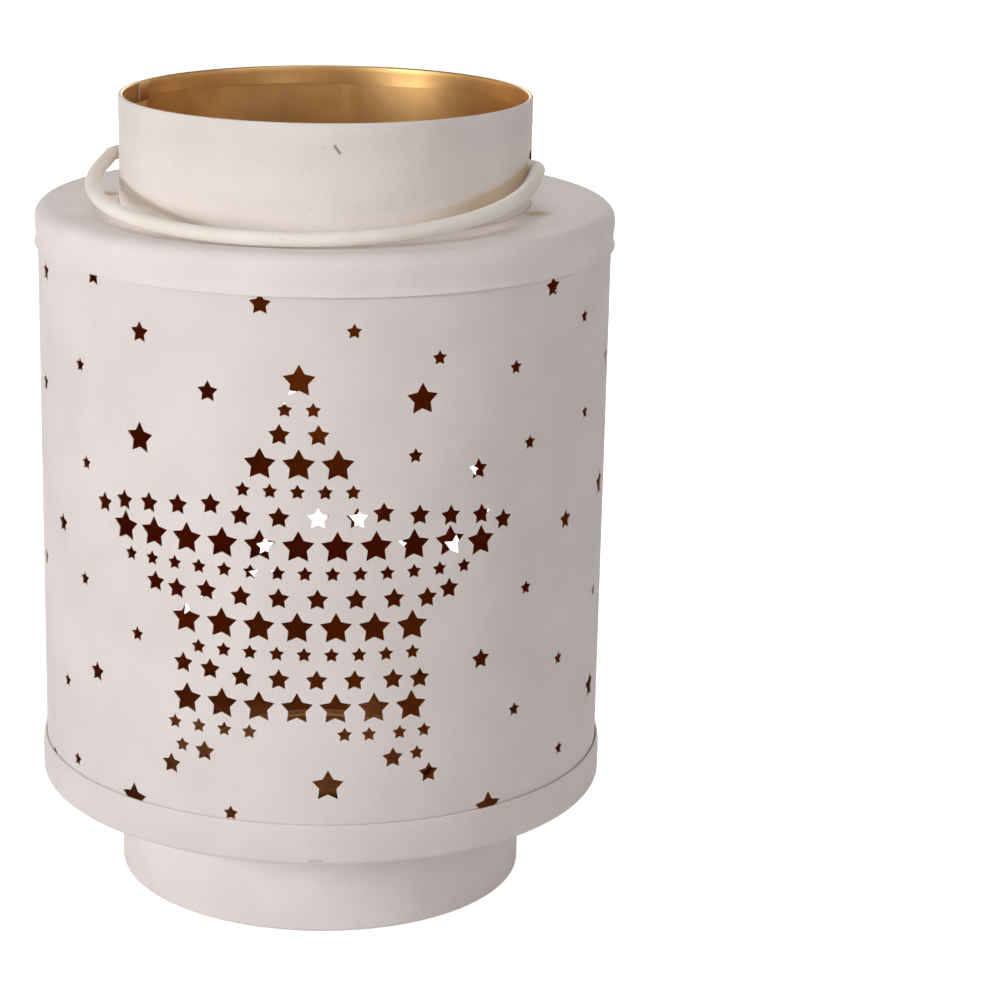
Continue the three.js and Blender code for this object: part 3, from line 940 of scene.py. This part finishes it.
def cream_lacquer(name, light, shade, speck_strength, grain, tint=None):
    """Sprayed matte lacquer on steel sheet: a soft broad sheen, clouds of slightly different shade where the
    spray passes overlap, a fine grey speckle and an orange-peel grain."""
    coat = blank(name)
    place = add(coat, "TexCoord").outputs["Object"]
    clouds = add(coat, "TexNoise", place, Scale=1 / CREAM_CLOUD, Detail=2.0, Roughness=0.5)
    cloud_colour = add(coat, "ValToRGB", clouds, stops=[(0.35, srgb(shade)), (0.65, srgb(light))])
    specks = add(coat, "TexNoise", place, Scale=1 / SPECK, Detail=3.0, Roughness=0.7)
    speck_mask = add(coat, "ValToRGB", specks, stops=[(0.6, BLACK), (0.78, WHITE)])
    patches = add(coat, "TexNoise", place, Scale=1 / SPECK_PATCH, Detail=2.0)
    patch_mask = add(coat, "MapRange", patches, 0.4, 0.65, 0.25, 1.0)
    speck_share = add(coat, "Math", speck_mask, patch_mask, operation="MULTIPLY")
    speck_share = add(coat, "Math", speck_share, speck_strength, operation="MULTIPLY")
    colour = add(coat, "Mix", speck_share, cloud_colour, srgb("8A827C"), data_type="RGBA")
    # The tint holds marks on the coat and, on the neck, painted light and shadow
    if tint:
        colour = add(coat, "Mix", 1.0, colour, tint(coat, place), data_type="RGBA", blend_type="MULTIPLY")
    peel = add(coat, "TexNoise", place, Scale=1 / (grain * MM), Detail=2.0)
    bump = add(coat, "Bump", Strength=0.12, Distance=0.1 * MM, Height=peel)
    gloss = add(coat, "MapRange", clouds, 0.0, 1.0, 0.6, 0.72)
    matte = {"IOR": 1.5, "Specular_IOR_Level": 0.1, "Normal": bump}
    add(coat, "OutputMaterial", add(coat, "BsdfPrincipled", Base_Color=colour, Roughness=gloss, **matte))
    return coat


def gold_lacquer():
    """Bronze-gold metallic lacquer, sprayed: fine flakes in a binder give a broad satin glow. Its colour
    holds painted light and shade: darker and redder through the middle of the drum's height, where the inside
    lies in shade, and lighter towards the floor and up into the neck."""
    coat = blank("sprayed gold lacquer with painted shade")
    place = add(coat, "TexCoord").outputs["Object"]
    height = add(coat, "SeparateXYZ", place).outputs["Z"]
    # Painted shade: darker and redder in the drum, lighter towards the floor and the neck
    depth = add(coat, "MapRange", height, 40 * MM, 240 * MM)
    ends = [(0.0, srgb("E0A050")), (1.0, srgb("F4C684"))]
    shade_stops = [(0.2, srgb("C86420")), (0.8, srgb("C86824"))]
    shaded_gold = add(coat, "ValToRGB", depth, stops=[ends[0], *shade_stops, ends[1]])
    clouds = add(coat, "TexNoise", place, Scale=1 / GOLD_CLOUD, Detail=3.0)
    cloud_tint = add(coat, "ValToRGB", clouds, stops=[(0.35, srgb("E6E2DE")), (0.65, WHITE)])
    colour = add(coat, "Mix", 1.0, shaded_gold, cloud_tint, data_type="RGBA", blend_type="MULTIPLY")
    flakes = add(coat, "TexNoise", place, Scale=1 / FLAKE, Detail=2.0)
    bump = add(coat, "Bump", Strength=0.15, Distance=0.1 * MM, Height=flakes)
    gloss = add(coat, "MapRange", flakes, 0.0, 1.0, 0.33, 0.42)
    satin = {"Metallic": 0.84, "Roughness": gloss, "Normal": bump}
    add(coat, "OutputMaterial", add(coat, "BsdfPrincipled", Base_Color=colour, **satin))
    return coat


def worn_finish(name, spot_size, detail, stops, **surface):
    """A finish of two shades in soft spots of one size."""
    coat = blank(name)
    place = add(coat, "TexCoord").outputs["Object"]
    wear = add(coat, "TexNoise", place, Scale=1 / spot_size, Detail=detail)
    colour = add(coat, "ValToRGB", wear, stops=stops)
    add(coat, "OutputMaterial", add(coat, "BsdfPrincipled", Base_Color=colour, **surface))
    return coat


def rim_gold_painted_highlight():
    """The same lacquer on the plate's rim, lighter and less shiny: the lighter colour is a painted highlight
    where light catches the rim.
    """
    shades = [(0.35, srgb("F4CB84")), (0.65, srgb("FFE2A8"))]
    return worn_finish("rim gold with painted highlight lacquer", 3 * MM, 3.0, shades, Metallic=0.2, Roughness=0.5)


def cut_edge_painted_glow():
    """The punched edge of the sheet, lacquered cream; its warm tint is a painted glow of light bounced off
    the gold inside: a light warm line.
    """
    shades = [(0.35, srgb("E3CDB0")), (0.65, srgb("F0E0CC"))]
    return worn_finish("lacquered cut edge with painted glow", 1.5 * MM, 2.0, shades, IOR=1.5, Roughness=0.5)


def hole_edge_painted_shade():
    """The walls of the bail's holes, painted dark: painted shade of the dark gap round the wire."""
    shades = [(0.4, srgb("3A1E10")), (0.65, srgb("5C3A22"))]
    return worn_finish("hole edge painted dark for shade", 0.8 * MM, 3.0, shades, IOR=1.5, Roughness=0.7)


def all_coats():
    """Every finish of the lantern, by the name that the pieces use."""
    return {
        "lacquer": cream_lacquer("sprayed cream lacquer", "EBE2E0", "E4DBD8", 0.5, 0.8),
        # The foot, lid, neck and wire have lighter copies of the drum's cream lacquer: painted light, where
        # these parts catch more light than the drum
        "foot": cream_lacquer("sprayed foot lacquer painted lighter", "F4ECE9", "EDE4E1", 0.5, 0.8),
        "lid": cream_lacquer("sprayed lid lacquer painted lighter", "F0E8E5", "E9E0DD", 0.6, 0.8, lid_tint),
        "pan": cream_lacquer("sprayed pan lacquer", "EBE2E0", "E4DBD8", 0.6, 0.8, pan_tint),
        "neck": cream_lacquer("sprayed neck lacquer with painted light and shadow", "F9F2EE", "F3EAE6", 0.6, 0.8, neck_scuff_and_painted_light),
        "wire": cream_lacquer("sprayed wire lacquer painted lighter", "FBF5ED", "EFE5DA", 0.9, 0.6),
        "gold": gold_lacquer(),
        "rim gold with painted highlight": rim_gold_painted_highlight(),
        "cut edge with painted glow": cut_edge_painted_glow(),
        "hole edge with painted shade": hole_edge_painted_shade(),
    }


# Stage, light and camera


def floor():
    """White paper: its colour bounces light on to the foot, and what it lacks of white is added only for the
    camera and for reflections, more of it further off, so that the lantern's shadow stays."""
    fresh()
    bpy.ops.mesh.primitive_plane_add(size=PAPER_SIZE, location=(0, 0, -PAPER_DROP))
    plane = bpy.context.object
    plane.name = "floor"
    paper = blank("white paper floor")
    matte = add(paper, "BsdfPrincipled", Base_Color=srgb("F0F0F0"), Roughness=0.9, Specular_IOR_Level=0.0)
    place = add(paper, "TexCoord").outputs["Object"]
    distance = add(paper, "VectorMath", place, operation="LENGTH")
    whiteness = add(paper, "MapRange", distance, *PAPER_WHITENESS)
    rays = add(paper, "LightPath").outputs
    seen = add(paper, "Math", rays["Is Camera Ray"], rays["Is Glossy Ray"], operation="MAXIMUM")
    level = add(paper, "Math", seen, whiteness, operation="MULTIPLY")
    glow = add(paper, "Emission", WHITE, level)
    add(paper, "OutputMaterial", add(paper, "AddShader", matte, glow))
    plane.data.materials.append(paper)


def world_light():
    """A studio: soft light, most of it from the camera's side. The camera sees a white backdrop all round,
    and reflections see it too, under a ceiling that is darker."""
    world = bpy.data.worlds.new("studio")
    bpy.context.scene.world = world
    world.use_nodes = True
    world.node_tree.nodes.clear()
    direction = add(world, "TexCoord").outputs["Generated"]
    towards = add(world, "VectorMath", direction, front(CAMERA_AZIMUTH, 1), operation="DOT_PRODUCT")
    soft_level = add(world, "MapRange", towards, -1.0, 1.0, *SOFT_LIGHT)
    height = add(world, "SeparateXYZ", direction).outputs["Z"]
    rays = add(world, "LightPath").outputs
    dark_share = within(world, (height, *CEILING_STARTS))
    dark_share = add(world, "Math", dark_share, rays["Is Glossy Ray"], operation="MULTIPLY")
    white_level = add(world, "MapRange", dark_share, 0.0, 1.0, 1.0, CEILING_LEVEL)
    seen = add(world, "Math", rays["Is Camera Ray"], rays["Is Glossy Ray"], operation="MAXIMUM")
    seen = add(world, "Math", seen, rays["Is Transmission Ray"], operation="MAXIMUM")
    soft = add(world, "Background", srgb("FFFAF8"), soft_level)
    white = add(world, "Background", WHITE, white_level)
    add(world, "OutputWorld", add(world, "MixShader", seen, soft, white))


def lamp(name, azimuth, elevation, distance, width, power):
    """A square soft box that looks at the lantern's middle."""
    data = bpy.data.lights.new(name, "AREA")
    data.size = width
    data.energy = power
    light = bpy.data.objects.new(name, data)
    light.visible_camera = False
    bpy.context.scene.collection.objects.link(light)
    lift = math.radians(elevation)
    away = front(CAMERA_AZIMUTH + azimuth, math.cos(lift), math.sin(lift))
    light.location = LAMP_TARGET + away * distance
    light.rotation_euler = (-away).to_track_quat("-Z", "Y").to_euler()


def camera():
    """The photograph's view: slightly from the right of the lantern's front, and looking down on it."""
    data = bpy.data.cameras.new("camera")
    data.sensor_width = SENSOR
    data.lens = LENS
    data.shift_x = CAMERA_SHIFT
    view = bpy.data.objects.new("camera", data)
    bpy.context.scene.collection.objects.link(view)
    place = Matrix.Translation(front(CAMERA_AZIMUTH, CAMERA_DISTANCE, CAMERA_HEIGHT))
    turn = Matrix.Rotation(math.radians(CAMERA_AZIMUTH + CAMERA_TURN), 4, "Z")
    tilt = Matrix.Rotation(math.radians(90 + CAMERA_PITCH), 4, "X")
    roll = Matrix.Rotation(math.radians(CAMERA_ROLL), 4, "Z")
    view.matrix_world = place @ turn @ tilt @ roll
    bpy.context.scene.camera = view


def build():
    """Makes each piece with its finish and body, then the stage."""
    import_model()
    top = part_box("lid_ring")[1].z
    neck_low, rim = [corner.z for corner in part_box("neck_collar")]
    hinge = rim - HINGE_BELOW_RIM
    drum_low, drum_high = [corner.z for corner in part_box("body_shell")]
    coats = all_coats()
    pieces = [
        foot(coats),
        pan(coats),
        plate(coats),
        drum(coats, drum_low, drum_high, top - LID_DEPTH),
        lid(coats, top),
        neck(coats, neck_low, rim, hinge),
    ]
    for piece in pieces:
        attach(piece, "lantern")
    handle = bail(coats, top, hinge)
    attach(handle, "bail")
    floor()
    world_light()
    for settings in LAMPS:
        lamp(*settings)
    camera()
    bpy.context.scene.view_settings.view_transform = "Standard"


build()
